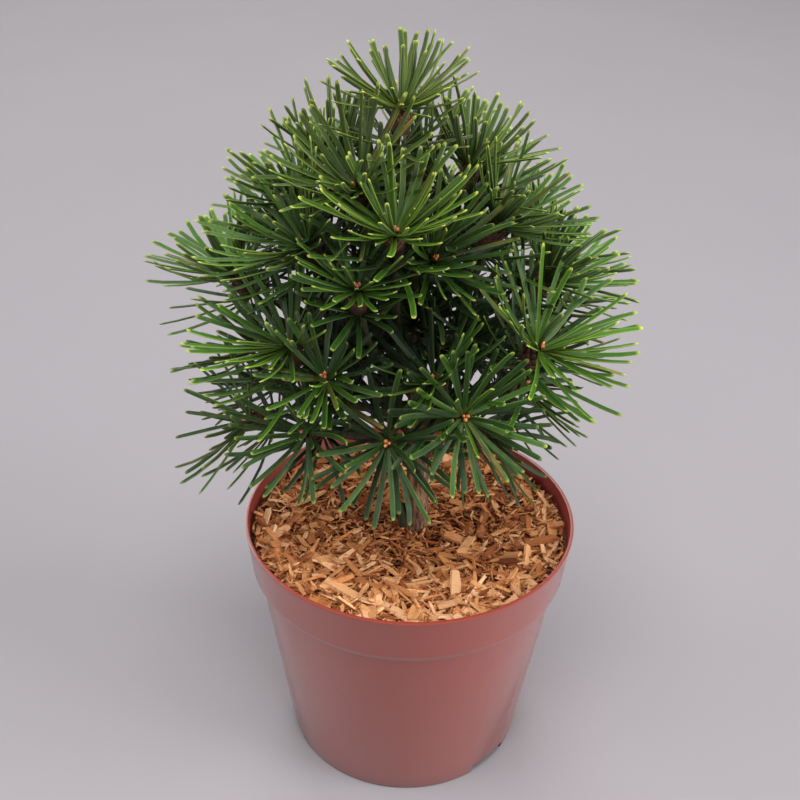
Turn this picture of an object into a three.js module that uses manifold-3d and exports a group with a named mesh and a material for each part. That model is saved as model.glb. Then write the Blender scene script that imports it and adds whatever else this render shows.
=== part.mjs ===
// Umbrella pine (Sciadopitys) growing in a round plastic nursery pot.
//
// Millimetres, +Z up. The origin is the centre of the pot's flat underside, and the side of the
// plant that faces -Y is its front. Bearings are degrees anticlockwise from +X, seen from above.
//
// The pot holds a root ball of potting soil with a layer of wood chips on it. One woody stem with
// its side branches stands in the soil, and every branch ends in one whorl of flat needles.

import * as THREE from 'three';
import { mergeVertices } from 'three/addons/utils/BufferGeometryUtils.js';
import Module from 'manifold-3d';

const wasm = await Module();
wasm.setup();

// ---- Clearances ---------------------------------------------------------------------------------
const GAP = 0.3; // left between pieces that touch
const CUT_MARGIN = 1; // how far a cutter stands past the faces that it cuts
const MERGE_DISTANCE = 1e-4; // corners nearer than this are one corner

// ---- Pot ----------------------------------------------------------------------------------------
const POT_HEIGHT = 120.5;
const POT_RIM_RADIUS = 75;
const POT_BASE_RADIUS = 55.5;
const POT_WALL = 1.5;
const COLLAR_HEIGHT = 22; // the wider band under the rim
const COLLAR_DRAFT = 2.5; // how much the collar narrows from the rim to its foot
const COLLAR_STEP = 3; // how far the collar stands out from the body under it
const SHOULDER_HEIGHT = 2.5; // the slope between the body and the collar
const POT_SIDES = 40;
const DRAIN_SLOTS = 3;
const DRAIN_SLOT_WIDTH = 22;
const DRAIN_SLOT_HEIGHT = 5;
const DRAIN_SLOT_DEPTH = 12; // inwards from the foot of the wall
const DRAIN_SLOT_BEARING = -43; // of the first slot

// ---- Soil and wood chips ------------------------------------------------------------------------
const HEADSPACE = 6.5; // rim to the top of the wood chips
const MULCH_DEPTH = 14;
const ROOTED_DEPTH = 40; // how far the stem stands in the soil

// ---- Stem and branches --------------------------------------------------------------------------
const STEM_RADIUS = 5.6;
const STEM_TOP_RADIUS = 2.4;
const STEM_OFFSET = 3.4; // the foot of the stem stands this far to the right of the pot's axis
const STEM_SWAY = 8; // how far the stem leans back to the left on its way up
const STEM_SHARE = 0.9; // share of the crown's height that the stem reaches
const STEM_SIDES = 8;
const STEM_RINGS = 6;
const BRANCH_RADIUS = 1.9;
const BRANCH_SIDES = 5;
const BRANCH_STEPS = 3;
const BRANCH_PULL = 0.4; // share of a branch's span over which each of its ends runs straight
const BRANCH_LIFT = 0.5; // slope at which a branch leaves the stem
const LOWEST_FORK = 6; // height of the lowest branch's foot over the wood chips
const FORK_SHARES = [0.55, 0.45, 0.65, 0.35, 0.75, 0.25, 0.85]; // of the hub's height over that

// ---- Needles ------------------------------------------------------------------------------------
const NEEDLE_LENGTH = 45;
const NEEDLE_WIDTH = 2;
const NEEDLE_THICKNESS = 1.4; // along the whorl's axis
const HUB_RADIUS = 3.2;
const SHORTEST = 4; // length of a needle that finds no room
const HUB_GUARD = HUB_RADIUS + SHORTEST; // kept free round each hub for its own shortest needles
const NEEDLE_CLEARANCE = 0.3; // between the needles of different whorls
const RIM_CLEARANCE = 2; // between needles and the pot's rim
const RIM_SAMPLES = 6; // places along a needle that are tested against the rim
const ALTERNATE_ANGLE = 5; // degrees, every second needle opens wider, the others narrower
const ANGLE_SPREAD = 4; // degrees
const TURN_SPREAD = 0.24; // share of the step between two needles
const LENGTH_SPREAD = 0.16; // share by which the needles of one whorl differ in length
const NARROWEST = 20; // degrees from the whorl's axis
const WIDEST = 82;
const NEEDLE_TRIES = 300;
const ANGLE_STRAIN = 32; // degrees more that a crowded needle may swing
const LENGTH_STRAIN = 0.8; // share by which a crowded needle may be shorter

// ---- Crown --------------------------------------------------------------------------------------
const CROWN_HEIGHT = 195; // wood chips to the topmost hub
const CROWN_REACH = 76; // pot's axis to the farthest hub

// One row per whorl: where its hub stands (its bearing, its distance from the pot's axis as a share
// of CROWN_REACH, its height as a share of CROWN_HEIGHT), where its axis points (the bearing that
// it faces and its rise), the angle at which its needles open from that axis, how many it has, and
// their length as a share of NEEDLE_LENGTH.
const WHORLS = [
  // Leader and the tier under it
  { bearing: 180, reach: 0.1, height: 1, faces: -110, rise: 84, opens: 62, needles: 20, size: 0.78 },
  { bearing: -145, reach: 0.37, height: 0.87, faces: -130, rise: 62, opens: 54, needles: 19, size: 0.9 },
  { bearing: 28, reach: 0.28, height: 0.866, faces: 20, rise: 66, opens: 50, needles: 18, size: 0.88 },
  { bearing: 144, reach: 0.5, height: 0.84, faces: 145, rise: 60, opens: 50, needles: 17, size: 0.88 },
  { bearing: 85, reach: 0.33, height: 0.84, faces: 90, rise: 62, opens: 50, needles: 15, size: 0.88 },
  // Upper tier
  { bearing: -103, reach: 0.49, height: 0.82, faces: -92, rise: 72, opens: 52, needles: 19, size: 0.86 },
  { bearing: -76, reach: 0.3, height: 0.736, faces: -50, rise: 46, opens: 56, needles: 17, size: 0.84 },
  { bearing: 0, reach: 0.42, height: 0.76, faces: 0, rise: 58, opens: 54, needles: 19, size: 0.92 },
  { bearing: -160, reach: 0.6, height: 0.744, faces: -155, rise: 50, opens: 54, needles: 19, size: 0.96 },
  { bearing: 168, reach: 0.62, height: 0.79, faces: 165, rise: 52, opens: 54, needles: 17, size: 0.9 },
  { bearing: 52, reach: 0.55, height: 0.76, faces: 50, rise: 54, opens: 54, needles: 15, size: 0.9 },
  { bearing: 112, reach: 0.58, height: 0.73, faces: 110, rise: 50, opens: 54, needles: 15, size: 0.92 },
  // Shoulder tier
  { bearing: -118, reach: 0.62, height: 0.715, faces: -95, rise: 76, opens: 64, needles: 15, size: 0.6 },
  { bearing: 5, reach: 0.7, height: 0.625, faces: 5, rise: 46, opens: 54, needles: 20, size: 0.96 },
  { bearing: 174, reach: 0.98, height: 0.62, faces: 174, rise: 60, opens: 54, needles: 19, size: 0.84 },
  { bearing: -147, reach: 0.77, height: 0.565, faces: -138, rise: 62, opens: 60, needles: 20, size: 0.98 },
  { bearing: -34, reach: 0.76, height: 0.57, faces: -37, rise: 59, opens: 60, needles: 20, size: 1 },
  { bearing: 30, reach: 0.85, height: 0.6, faces: 30, rise: 44, opens: 56, needles: 16, size: 0.96 },
  { bearing: 63, reach: 0.85, height: 0.56, faces: 62, rise: 42, opens: 56, needles: 16, size: 0.96 },
  { bearing: 96, reach: 0.85, height: 0.6, faces: 96, rise: 44, opens: 56, needles: 16, size: 0.96 },
  { bearing: 128, reach: 0.85, height: 0.57, faces: 128, rise: 42, opens: 56, needles: 16, size: 0.96 },
  { bearing: 152, reach: 0.8, height: 0.66, faces: 152, rise: 46, opens: 54, needles: 16, size: 0.92 },
  // Front and lower tier
  { bearing: -125, reach: 0.78, height: 0.54, faces: -104, rise: 58, opens: 64, needles: 13, size: 0.62 },
  { bearing: -81, reach: 0.6, height: 0.53, faces: -140, rise: 60, opens: 58, needles: 16, size: 0.78 },
  { bearing: -72, reach: 0.8, height: 0.49, faces: -76, rise: 27, opens: 64, needles: 15, size: 0.72 },
  { bearing: -100, reach: 0.74, height: 0.42, faces: -97, rise: 22, opens: 66, needles: 14, size: 0.78 },
  { bearing: -132, reach: 0.81, height: 0.405, faces: -122, rise: 28, opens: 64, needles: 14, size: 0.74 },
  { bearing: -162, reach: 0.93, height: 0.355, faces: -160, rise: 24, opens: 58, needles: 15, size: 0.9 },
  { bearing: 168, reach: 0.88, height: 0.43, faces: 176, rise: 38, opens: 54, needles: 16, size: 0.94 },
  { bearing: 158, reach: 0.85, height: 0.3, faces: 165, rise: 18, opens: 54, needles: 15, size: 0.86 },
  { bearing: -13, reach: 0.59, height: 0.43, faces: -8, rise: 16, opens: 50, needles: 17, size: 0.84 },
  { bearing: -30, reach: 0.5, height: 0.32, faces: -30, rise: 12, opens: 52, needles: 14, size: 0.74 },
  { bearing: 22, reach: 0.8, height: 0.4, faces: 20, rise: 34, opens: 56, needles: 15, size: 0.84 },
  { bearing: 52, reach: 0.82, height: 0.36, faces: 52, rise: 24, opens: 56, needles: 15, size: 0.86 },
  { bearing: 84, reach: 0.8, height: 0.4, faces: 84, rise: 26, opens: 56, needles: 15, size: 0.86 },
  { bearing: 112, reach: 0.82, height: 0.35, faces: 112, rise: 22, opens: 56, needles: 15, size: 0.86 },
  { bearing: 138, reach: 0.82, height: 0.4, faces: 138, rise: 26, opens: 56, needles: 15, size: 0.86 },
  // Inside the crown
  { bearing: -90, reach: 0.16, height: 0.57, faces: -80, rise: 54, opens: 44, needles: 13, size: 0.8 },
  { bearing: -30, reach: 0.32, height: 0.53, faces: -50, rise: 50, opens: 44, needles: 13, size: 0.8 },
  { bearing: -155, reach: 0.36, height: 0.5, faces: -130, rise: 50, opens: 44, needles: 13, size: 0.8 },
  { bearing: 90, reach: 0.35, height: 0.6, faces: 90, rise: 56, opens: 44, needles: 13, size: 0.84 },
  { bearing: 140, reach: 0.42, height: 0.48, faces: 140, rise: 45, opens: 46, needles: 13, size: 0.84 },
  { bearing: 45, reach: 0.45, height: 0.47, faces: 45, rise: 45, opens: 46, needles: 13, size: 0.84 },
];

const MULCH_TOP = POT_HEIGHT - HEADSPACE;
const UP = new THREE.Vector3(0, 0, 1);

const materials = {
  pot: new THREE.MeshStandardMaterial({ color: 0xa85044, roughness: 0.4, metalness: 0 }),
  soil: new THREE.MeshStandardMaterial({ color: 0x2e2018, roughness: 0.95, metalness: 0 }),
  mulch: new THREE.MeshStandardMaterial({ color: 0xc08a5c, roughness: 0.85, metalness: 0 }),
  bark: new THREE.MeshStandardMaterial({ color: 0x6b4a34, roughness: 0.85, metalness: 0 }),
  needles: new THREE.MeshStandardMaterial({ color: 0x2f6a22, roughness: 0.45, metalness: 0 }),
};

// ---- Helpers ------------------------------------------------------------------------------------

// A small seeded generator, so that the plant is the same every time.
function seededRandom(seed) {
  let state = seed;
  return () => {
    state = (state + 0x6d2b79f5) | 0;
    let mixed = Math.imul(state ^ (state >>> 15), 1 | state);
    mixed = (mixed + Math.imul(mixed ^ (mixed >>> 7), 61 | mixed)) ^ mixed;
    return ((mixed ^ (mixed >>> 14)) >>> 0) / 4294967296;
  };
}

// Unit vector with the given bearing and rise above the horizontal, both in degrees.
function heading(bearing, rise) {
  const turn = THREE.MathUtils.degToRad(bearing);
  const lift = THREE.MathUtils.degToRad(rise);
  const level = Math.cos(lift);
  return new THREE.Vector3(level * Math.cos(turn), level * Math.sin(turn), Math.sin(lift));
}

function toSolid(geometry) {
  const bare = geometry.clone();
  bare.deleteAttribute('normal');
  bare.deleteAttribute('uv');
  const merged = mergeVertices(bare, MERGE_DISTANCE);
  return new wasm.Manifold(
    new wasm.Mesh({
      numProp: 3,
      vertProperties: new Float32Array(merged.attributes.position.array),
      triVerts: new Uint32Array(merged.index.array),
    }),
  );
}

function toGeometry(solid) {
  const mesh = solid.getMesh();
  const geometry = new THREE.BufferGeometry();
  geometry.setAttribute('position', new THREE.BufferAttribute(mesh.vertProperties, 3));
  geometry.setIndex(new THREE.BufferAttribute(mesh.triVerts, 1));
  geometry.computeVertexNormals();
  return geometry;
}

function namedMesh(name, geometry, material) {
  const mesh = new THREE.Mesh(geometry, material);
  mesh.name = name;
  return mesh;
}

// A turned solid about Z, from an outline of [radius, height] pairs that starts and ends on the
// axis and runs anticlockwise.
function turned(outline, sides) {
  const points = outline.map(([radius, height]) => new THREE.Vector2(radius, height));
  return new THREE.LatheGeometry(points, sides).rotateX(Math.PI / 2);
}

// ---- Pot, soil and wood chips -------------------------------------------------------------------

// The pot's outer wall as [radius, height] pairs, from its foot to its rim.
function potWall() {
  const collarFoot = POT_HEIGHT - COLLAR_HEIGHT;
  const collarFootRadius = POT_RIM_RADIUS - COLLAR_DRAFT;
  return [
    [POT_BASE_RADIUS, 0],
    [collarFootRadius - COLLAR_STEP, collarFoot - SHOULDER_HEIGHT],
    [collarFootRadius, collarFoot],
    [POT_RIM_RADIUS, POT_HEIGHT],
  ];
}

// Radius of the space inside the pot at a height, by straight lines between the wall's corners.
function boreRadius(height) {
  const wall = potWall();
  const above = Math.max(1, wall.findIndex((corner) => corner[1] >= height));
  const [lowRadius, low] = wall[above - 1];
  const [highRadius, high] = wall[above];
  return THREE.MathUtils.mapLinear(height, low, high, lowRadius, highRadius) - POT_WALL;
}

function potGeometry() {
  const wall = potWall();
  const inside = wall.slice(1).reverse().map(([radius, height]) => [radius - POT_WALL, height]);
  const outline = [[0, 0], ...wall, ...inside, [boreRadius(POT_WALL), POT_WALL], [0, POT_WALL]];
  let pot = toSolid(turned(outline, POT_SIDES));
  for (let slot = 0; slot < DRAIN_SLOTS; slot += 1) {
    const bearing = DRAIN_SLOT_BEARING + (slot * 360) / DRAIN_SLOTS;
    const length = DRAIN_SLOT_DEPTH + CUT_MARGIN;
    const height = DRAIN_SLOT_HEIGHT + CUT_MARGIN;
    const cutter = new THREE.BoxGeometry(length, DRAIN_SLOT_WIDTH, height);
    cutter.translate(POT_BASE_RADIUS + CUT_MARGIN - length / 2, 0, height / 2 - CUT_MARGIN);
    cutter.rotateZ(THREE.MathUtils.degToRad(bearing));
    pot = pot.subtract(toSolid(cutter));
  }
  return toGeometry(pot);
}

// A layer that fills the pot between two heights, with a hole for the stem.
function layerGeometry(bottom, top, holeBottom) {
  const corners = potWall().map((corner) => corner[1]);
  const heights = [bottom, ...corners.filter((height) => height > bottom && height < top), top];
  const side = heights.map((height) => [boreRadius(height) - GAP, height]);
  const layer = toSolid(turned([[0, bottom], ...side, [0, top]], POT_SIDES));
  const radius = STEM_RADIUS + GAP / Math.cos(Math.PI / STEM_SIDES);
  const hole = [[0, holeBottom], [radius, holeBottom], [radius, top + CUT_MARGIN], [0, top + CUT_MARGIN]];
  return toGeometry(layer.subtract(toSolid(turned(hole, STEM_SIDES).translate(STEM_OFFSET, 0, 0))));
}

// ---- Stem and branches --------------------------------------------------------------------------

// A point on the stem's middle line at a height.
function stemPoint(height) {
  const share = Math.max(0, (height - MULCH_TOP) / CROWN_HEIGHT);
  return new THREE.Vector3(STEM_OFFSET - STEM_SWAY * share * share, 0, height);
}

function stemRadius(height) {
  const share = Math.max(0, (height - MULCH_TOP) / (CROWN_HEIGHT * STEM_SHARE));
  return THREE.MathUtils.lerp(STEM_RADIUS, STEM_TOP_RADIUS, share);
}

// Heights of the stem's rings, from its buried foot to its top.
function stemHeights() {
  const heights = [MULCH_TOP - MULCH_DEPTH - ROOTED_DEPTH];
  for (let ring = 0; ring <= STEM_RINGS; ring += 1) {
    heights.push(MULCH_TOP + (CROWN_HEIGHT * STEM_SHARE * ring) / STEM_RINGS);
  }
  return heights;
}

// The stem is turned straight and then each ring is moved to its place on the leaning middle line.
function stemGeometry() {
  const heights = stemHeights();
  const side = heights.map((height) => [stemRadius(height), height]);
  const geometry = turned([[0, heights[0]], ...side, [0, heights.at(-1)]], STEM_SIDES);
  const position = geometry.attributes.position;
  for (let index = 0; index < position.count; index += 1) {
    position.setX(index, position.getX(index) + stemPoint(position.getZ(index)).x);
  }
  return geometry;
}

// The hub's place and the way its axis points, for one row of WHORLS.
function hubOf(row) {
  const level = heading(row.bearing, 0).multiplyScalar(row.reach * CROWN_REACH);
  const axis = heading(row.faces, row.rise);
  return {
    row,
    centre: level.setZ(MULCH_TOP + row.height * CROWN_HEIGHT),
    axis,
    turn: new THREE.Quaternion().setFromUnitVectors(UP, axis),
  };
}

// The middle line of the branch that carries a hub. It leaves the stem at the given share of the
// hub's height and ends under the hub, in line with the hub's axis.
function branchCurve(hub, share) {
  const rise = hub.centre.z - MULCH_TOP - LOWEST_FORK;
  const top = MULCH_TOP + CROWN_HEIGHT * STEM_SHARE - BRANCH_RADIUS;
  const foot = stemPoint(Math.min(top, MULCH_TOP + LOWEST_FORK + rise * share));
  const tip = hub.centre.clone().addScaledVector(hub.axis, -GAP);
  const pull = foot.distanceTo(tip) * BRANCH_PULL;
  const outwards = tip.clone().sub(foot).setZ(0).normalize().addScaledVector(UP, BRANCH_LIFT);
  const leaving = foot.clone().addScaledVector(outwards.normalize(), pull);
  const arriving = tip.clone().addScaledVector(hub.axis, -pull);
  return new THREE.CubicBezierCurve3(foot, leaving, arriving, tip);
}

// Straight stretches between evenly spaced points of a curve.
function stretches(curve, count) {
  const points = curve.getSpacedPoints(count);
  return points.slice(1).map((point, index) => new THREE.Line3(points[index], point));
}

// Smallest room between a set of stretches and the guarded hubs of all other whorls.
function roomBeside(lines, hubs, own) {
  let room = Infinity;
  hubs.forEach((hub, index) => {
    if (index === own) return;
    for (const line of lines) {
      const nearest = line.closestPointToPoint(hub.centre, true, new THREE.Vector3());
      room = Math.min(room, nearest.distanceTo(hub.centre) - HUB_GUARD - BRANCH_RADIUS);
    }
  });
  return room;
}

// Every branch forks where it passes the other hubs with the most room, among the heights that a
// branch may leave the stem at.
function chooseBranches(hubs) {
  return hubs.map((hub, own) => {
    let best = null;
    for (const share of FORK_SHARES) {
      const curve = branchCurve(hub, share);
      const room = Math.min(0, roomBeside(stretches(curve, BRANCH_STEPS), hubs, own));
      if (best === null || room > best.room) best = { curve, room };
    }
    return best.curve;
  });
}

function branchGeometry(curve) {
  const corners = [];
  for (let side = 0; side < BRANCH_SIDES; side += 1) {
    const angle = (side * 2 * Math.PI) / BRANCH_SIDES;
    corners.push(new THREE.Vector2(BRANCH_RADIUS * Math.cos(angle), BRANCH_RADIUS * Math.sin(angle)));
  }
  const section = new THREE.Shape(corners);
  return new THREE.ExtrudeGeometry(section, { steps: BRANCH_STEPS, extrudePath: curve });
}

function woodGeometry(branches) {
  let wood = toSolid(stemGeometry());
  for (const curve of branches) {
    wood = wood.add(toSolid(branchGeometry(curve)));
  }
  return toGeometry(wood);
}

// ---- Needles ------------------------------------------------------------------------------------

// Everything that a needle keeps clear of: straight stretches, each with a radius and the number
// of the whorl that it belongs to.
class Thicket {
  constructor() {
    this.stretches = [];
  }

  add(line, radius, owner) {
    this.stretches.push({ line, radius, owner });
  }

  isClear(line, radius, owner) {
    return this.stretches.every((other) => {
      const room = radius + other.radius + NEEDLE_CLEARANCE;
      return other.owner === owner || line.distanceSqToLine3(other.line) > room * room;
    });
  }
}

// True if a needle passes over the pot's rim and the wood chips with room to spare.
function isOverRim(line) {
  for (let sample = 0; sample <= RIM_SAMPLES; sample += 1) {
    const point = line.at(sample / RIM_SAMPLES, new THREE.Vector3());
    const isInside = Math.hypot(point.x, point.y) < POT_RIM_RADIUS + RIM_CLEARANCE;
    if (isInside && point.z < POT_HEIGHT + RIM_CLEARANCE) return false;
  }
  return true;
}

// The root and the tip of a needle, in its whorl's own frame.
function needleAt(turn, angle, length) {
  const root = heading(turn, 0).multiplyScalar(HUB_RADIUS);
  return { root, tip: root.clone().addScaledVector(heading(turn, 90 - angle), length) };
}

// Tries directions and lengths for one needle, further from the wished ones each time, until it
// is clear. One that finds no room stays a stub inside its own hub's guarded space.
function growNeedle(row, number, isFree, random) {
  const step = 360 / row.needles;
  const wishedTurn = number * step;
  const wishedAngle = row.opens + (number % 2 === 0 ? ALTERNATE_ANGLE : -ALTERNATE_ANGLE);
  for (let attempt = 0; attempt < NEEDLE_TRIES; attempt += 1) {
    const strain = attempt / NEEDLE_TRIES;
    const turn = wishedTurn + step * TURN_SPREAD * (2 * random() - 1);
    const swing = (ANGLE_SPREAD + ANGLE_STRAIN * strain) * (2 * random() - 1);
    const angle = THREE.MathUtils.clamp(wishedAngle + swing, NARROWEST, WIDEST);
    const share = (1 - LENGTH_SPREAD * random()) * (1 - LENGTH_STRAIN * strain * strain);
    const needle = needleAt(turn, angle, NEEDLE_LENGTH * row.size * share);
    if (isFree(needle)) return needle;
  }
  return needleAt(wishedTurn, row.opens, SHORTEST);
}

// Grows the needles of all whorls, the front ones first, clear of the wood and of each other.
function growNeedles(hubs, branches) {
  const thicket = new Thicket();
  const radius = Math.hypot(NEEDLE_WIDTH, NEEDLE_THICKNESS) / 2;
  const stem = stemHeights().map(stemPoint);
  stem.slice(1).forEach((point, index) => {
    thicket.add(new THREE.Line3(stem[index], point), stemRadius(stem[index].z), null);
  });
  hubs.forEach((hub, own) => {
    thicket.add(new THREE.Line3(hub.centre, hub.centre), HUB_GUARD, own);
    stretches(branches[own], BRANCH_STEPS).forEach((line) => thicket.add(line, BRANCH_RADIUS, own));
  });
  const frontFirst = hubs.map((hub, own) => own).sort((a, b) => hubs[a].centre.y - hubs[b].centre.y);
  const whorls = [];
  for (const own of frontFirst) {
    const { row, centre, turn } = hubs[own];
    const place = (point) => point.clone().applyQuaternion(turn).add(centre);
    const lineOf = (needle) => new THREE.Line3(place(needle.root), place(needle.tip));
    const isFree = (needle) => {
      const line = lineOf(needle);
      return isOverRim(line) && thicket.isClear(line, radius, own);
    };
    const random = seededRandom(own + 1);
    whorls[own] = [];
    for (let number = 0; number < row.needles; number += 1) {
      const needle = growNeedle(row, number, isFree, random);
      thicket.add(lineOf(needle), radius, own);
      whorls[own].push(needle);
    }
  }
  return whorls;
}

// One whorl: a flat star with a blunt finger per needle, whose tips are then lifted to their
// places. The small disc in the middle is the hub.
function whorlGeometry(needles) {
  const outline = [];
  needles.forEach((needle, number) => {
    const next = needles[(number + 1) % needles.length];
    const along = needle.tip.clone().setZ(0).normalize();
    const room = needle.tip.clone().setZ(0).length() * Math.tan(Math.PI / needles.length / 2);
    const across = new THREE.Vector3().crossVectors(UP, along);
    across.multiplyScalar(Math.min(NEEDLE_WIDTH / 2, room));
    const notch = needle.root.clone().add(next.root).setLength(HUB_RADIUS);
    outline.push(needle.tip.clone().sub(across), needle.tip.clone().add(across), notch);
  });
  const star = new THREE.Shape(outline.map((point) => new THREE.Vector2(point.x, point.y)));
  const geometry = new THREE.ExtrudeGeometry(star, { depth: NEEDLE_THICKNESS, bevelEnabled: false });
  liftTips(geometry, needles);
  return geometry;
}

// Raises the end of every finger of a flat star by the height of its needle's tip.
function liftTips(geometry, needles) {
  const position = geometry.attributes.position;
  const corner = new THREE.Vector3();
  for (let index = 0; index < position.count; index += 1) {
    corner.fromBufferAttribute(position, index).setZ(0);
    if (corner.length() > HUB_RADIUS + NEEDLE_CLEARANCE) {
      const distances = needles.map((needle) => corner.distanceTo(needle.tip.clone().setZ(0)));
      const nearest = needles[distances.indexOf(Math.min(...distances))];
      position.setZ(index, position.getZ(index) + nearest.tip.z);
    }
  }
}

// ---- Assembly -----------------------------------------------------------------------------------

function buildPlant() {
  const plant = new THREE.Group();
  const soilTop = MULCH_TOP - MULCH_DEPTH;
  const soil = layerGeometry(POT_WALL + GAP, soilTop - GAP, soilTop - ROOTED_DEPTH - GAP);
  const mulch = layerGeometry(soilTop, MULCH_TOP, soilTop - CUT_MARGIN);
  plant.add(namedMesh('nursery_pot', potGeometry(), materials.pot));
  plant.add(namedMesh('potting_soil', soil, materials.soil));
  plant.add(namedMesh('wood_chip_mulch', mulch, materials.mulch));

  const hubs = WHORLS.map(hubOf);
  const branches = chooseBranches(hubs);
  plant.add(namedMesh('stem_and_branches', woodGeometry(branches), materials.bark));

  growNeedles(hubs, branches).forEach((needles, own) => {
    const name = `needle_whorl_${String(own + 1).padStart(2, '0')}`;
    const whorl = namedMesh(name, whorlGeometry(needles), materials.needles);
    whorl.position.copy(hubs[own].centre);
    whorl.quaternion.copy(hubs[own].turn);
    plant.add(whorl);
  });
  return plant;
}

export default buildPlant();
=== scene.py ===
"""Umbrella pine in a plastic nursery pot: the finished look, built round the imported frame.

Every piece is modelled in metres in the frame's own axes, with Z up and the pot's axis at the
origin. The front of the plant faces -Y.
"""

import math
import random
from functools import partial

import bmesh
import bpy
import numpy as np
from bpy.props import FloatProperty, FloatVectorProperty, IntProperty, PointerProperty
from mathutils import Matrix, Vector


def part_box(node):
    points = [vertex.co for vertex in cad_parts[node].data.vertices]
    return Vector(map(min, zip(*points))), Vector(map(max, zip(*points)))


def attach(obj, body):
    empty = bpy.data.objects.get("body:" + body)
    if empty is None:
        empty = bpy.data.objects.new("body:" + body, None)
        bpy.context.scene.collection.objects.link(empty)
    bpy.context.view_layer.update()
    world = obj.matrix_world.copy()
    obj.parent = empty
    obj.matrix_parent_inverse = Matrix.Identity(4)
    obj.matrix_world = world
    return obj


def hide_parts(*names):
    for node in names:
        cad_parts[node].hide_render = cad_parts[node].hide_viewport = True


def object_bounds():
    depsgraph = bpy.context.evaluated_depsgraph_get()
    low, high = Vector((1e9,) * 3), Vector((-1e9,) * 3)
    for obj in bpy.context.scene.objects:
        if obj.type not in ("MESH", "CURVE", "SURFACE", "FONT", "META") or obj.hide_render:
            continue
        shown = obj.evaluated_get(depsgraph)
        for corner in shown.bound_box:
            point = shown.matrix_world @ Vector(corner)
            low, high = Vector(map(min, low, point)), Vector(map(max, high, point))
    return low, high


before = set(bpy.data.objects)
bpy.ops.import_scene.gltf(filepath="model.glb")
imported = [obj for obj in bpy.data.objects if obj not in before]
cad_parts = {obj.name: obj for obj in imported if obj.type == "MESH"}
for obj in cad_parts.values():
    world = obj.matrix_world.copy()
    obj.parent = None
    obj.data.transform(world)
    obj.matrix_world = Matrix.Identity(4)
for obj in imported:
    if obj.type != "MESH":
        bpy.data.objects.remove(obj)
CAD_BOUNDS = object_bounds()

bl_info = {
    "name": "Potted Umbrella Pine",
    "version": (1, 0, 0),
    "blender": (4, 5, 0),
    "location": "View3D > Sidebar > Pine",
    "description": "Builds a potted umbrella pine round its packed frame",
    "category": "Add Mesh",
}

MM = 0.001
BODY = "root"
WHORL_NODES = sorted(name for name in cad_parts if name.startswith("needle_whorl_"))
POT_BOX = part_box("nursery_pot")
MULCH_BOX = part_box("wood_chip_mulch")
POT_HEIGHT = POT_BOX[1].z
RIM_RADIUS = POT_BOX[1].x
MULCH_TOP = MULCH_BOX[1].z
MULCH_RADIUS = MULCH_BOX[1].x
STEM_X = 3.4 * MM  # the foot of the stem stands this far to the right of the pot's axis
STEM_FOOT = Vector((STEM_X, 0, 0))
STEM_RADIUS = 5.6 * MM


# ---- Sizes and colours that a user would change ----


def measure(name, description, default, **kind):
    return FloatProperty(name=name, description=description, default=default, **kind)


def amount(name, description, default, least=1):
    return IntProperty(name=name, description=description, default=default, min=least)


def colour(name, painted, default):
    return FloatVectorProperty(
        name=name, description=f"Colour of {painted}", default=default, size=3, subtype="COLOR",
        min=0, max=1,
    )


length = partial(measure, unit="LENGTH")
power = partial(measure, unit="POWER")
share = partial(measure, subtype="FACTOR")
angle = partial(measure, subtype="ANGLE")


class PotSettings(bpy.types.PropertyGroup):
    """Sizes and colours of the nursery pot."""

    base_radius: length("Base radius", "Radius of the underside", 55.5 * MM)
    wall: length("Wall", "Thickness of the plastic", 1.5 * MM)
    collar_height: length("Collar height", "Height of the band under the rim", 22 * MM)
    collar_draft: length("Collar draft", "How much the collar narrows to its foot", 2.5 * MM)
    collar_step: length("Collar step", "How far the collar stands out from the body", 3 * MM)
    shoulder: length("Shoulder", "Height of the slope under the collar", 2.5 * MM)
    lip: length("Lip", "Height of the bead round the rim", 1.1 * MM)
    lip_step: length("Lip step", "How far the bead stands out from the collar", 0.35 * MM)
    edge: length("Edge rounding", "Rounding of the moulded edges", 0.45 * MM)
    plastic: colour("Plastic", "the moulded plastic", (0.290, 0.053, 0.037))
    bright: colour("Bright plastic", "the rim and the flow marks", (0.29, 0.045, 0.026))
    # the inner wall's colour is painted shade, darker than the plastic
    inner: colour("Inner wall", "the duller inside", (0.24, 0.030, 0.017))


class BeddingSettings(bpy.types.PropertyGroup):
    """Sizes, numbers and colours of the soil and the wood chips."""

    chips: amount("Chips", "Number of wood chips", 2600)
    fibres: amount("Fibres", "Number of fine wood fibres", 4600)
    chip_length: length("Chip length", "Length of a middling chip", 8 * MM)
    unevenness: length("Unevenness", "Height of the humps in the layer", 3.2 * MM)
    pale: colour("Pale wood", "the freshest chips", (1.0, 0.60, 0.335))
    ochre: colour("Ochre wood", "most chips", (0.66, 0.255, 0.080))
    russet: colour("Russet wood", "bark fibres", (0.29, 0.068, 0.015))
    soil: colour("Soil", "the potting soil", (0.030, 0.017, 0.010))


class WoodSettings(bpy.types.PropertyGroup):
    """Sizes and colours of the stem, branches, shoots and buds."""

    bark_relief: length("Bark relief", "Depth of the furrows in the bark", 0.9 * MM)
    shoot_length: length("Shoot length", "Length of the scaly shoot under a whorl", 12.5 * MM)
    shoot_width: length("Shoot width", "Width of the scaly shoot under a whorl", 7 * MM)
    scale_rows: amount("Scale rows", "Rings of scales on a shoot", 6)
    bud_length: length("Bud length", "Length of a bud", 2.2 * MM)
    bark: colour("Bark", "the stem's bark", (0.25, 0.130, 0.070))
    young_bark: colour("Young bark", "the thin branches", (0.022, 0.030, 0.012))
    scale: colour("Scales", "the papery scales", (0.235, 0.078, 0.038))
    bud: colour("Buds", "the buds", (0.62, 0.20, 0.065))


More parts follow.
